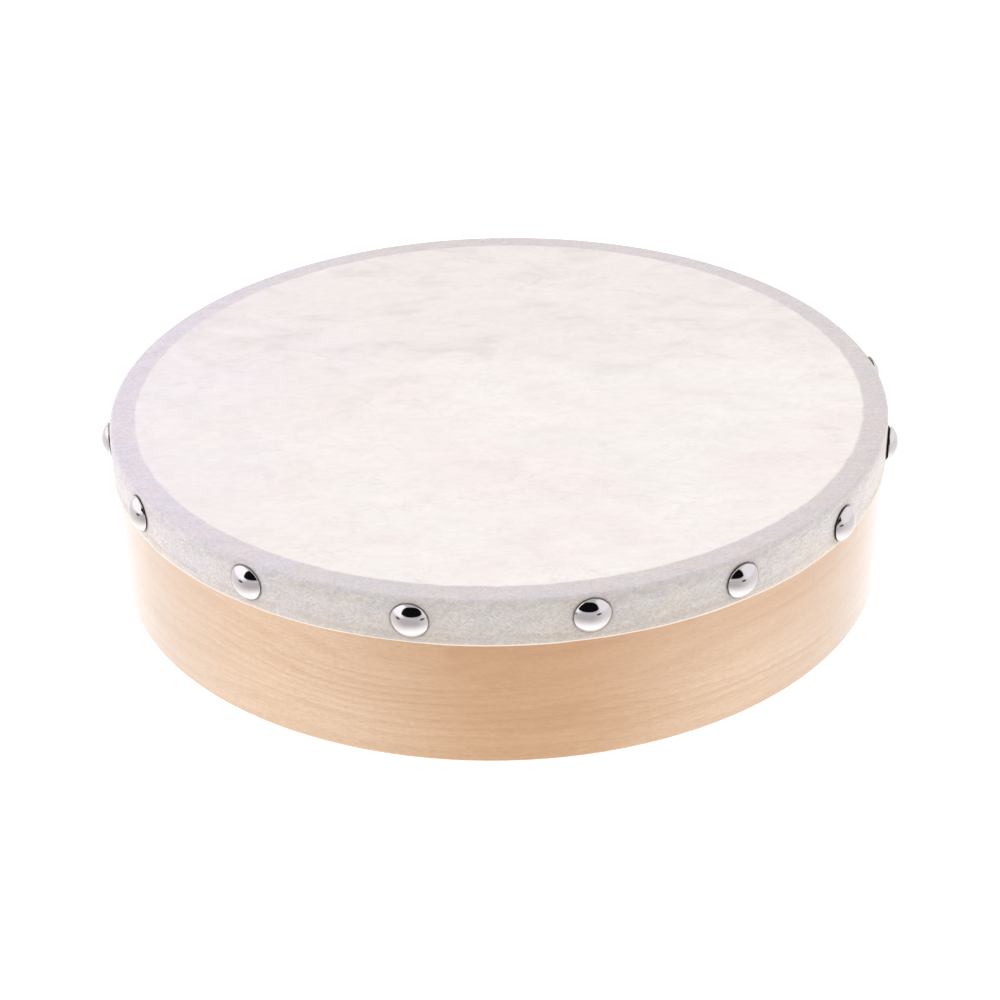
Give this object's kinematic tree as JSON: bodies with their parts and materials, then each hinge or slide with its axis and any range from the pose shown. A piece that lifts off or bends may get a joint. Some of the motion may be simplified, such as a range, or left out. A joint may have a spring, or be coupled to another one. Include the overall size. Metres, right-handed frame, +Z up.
{
  "type": "frame drum",
  "caption": "Shallow round hand drum: a natural skin head nailed with domed tacks over the rim of a bent plywood shell, open underneath.",
  "frame": {"origin": "centre of the shell's open bottom edge, on the plane the drum rests on", "axes": "+Z up along the shell's axis to the playing face, -Y to the front, +X to the right"},
  "size_m": [0.2555, 0.2542, 0.0556],
  "materials": {
    "skin": "dry translucent rawhide, matt",
    "plywood": "pale rotary-cut veneer, satin lacquer",
    "tack_chrome": "mirror",
    "pin_steel": "drawn wire, plain"
  },
  "bodies": {
    "root": {"drum_head": "skin", "outer_ply": "plywood", "core_ply_1": "plywood", "core_ply_2": "plywood", "core_ply_3": "plywood", "inner_ply": "plywood", "tack_cap_01": "tack_chrome", "tack_cap_02": "tack_chrome", "tack_cap_03": "tack_chrome", "tack_cap_04": "tack_chrome", "tack_cap_05": "tack_chrome", "tack_cap_06": "tack_chrome", "tack_cap_07": "tack_chrome", "tack_cap_08": "tack_chrome", "tack_cap_09": "tack_chrome", "tack_cap_10": "tack_chrome", "tack_cap_11": "tack_chrome", "tack_cap_12": "tack_chrome", "tack_cap_13": "tack_chrome", "tack_cap_14": "tack_chrome", "tack_cap_15": "tack_chrome", "tack_cap_16": "tack_chrome", "tack_pin_01": "pin_steel", "tack_pin_02": "pin_steel", "tack_pin_03": "pin_steel", "tack_pin_04": "pin_steel", "tack_pin_05": "pin_steel", "tack_pin_06": "pin_steel", "tack_pin_07": "pin_steel", "tack_pin_08": "pin_steel", "tack_pin_09": "pin_steel", "tack_pin_10": "pin_steel", "tack_pin_11": "pin_steel", "tack_pin_12": "pin_steel", "tack_pin_13": "pin_steel", "tack_pin_14": "pin_steel", "tack_pin_15": "pin_steel", "tack_pin_16": "pin_steel"}
  },
  "joints": []
}
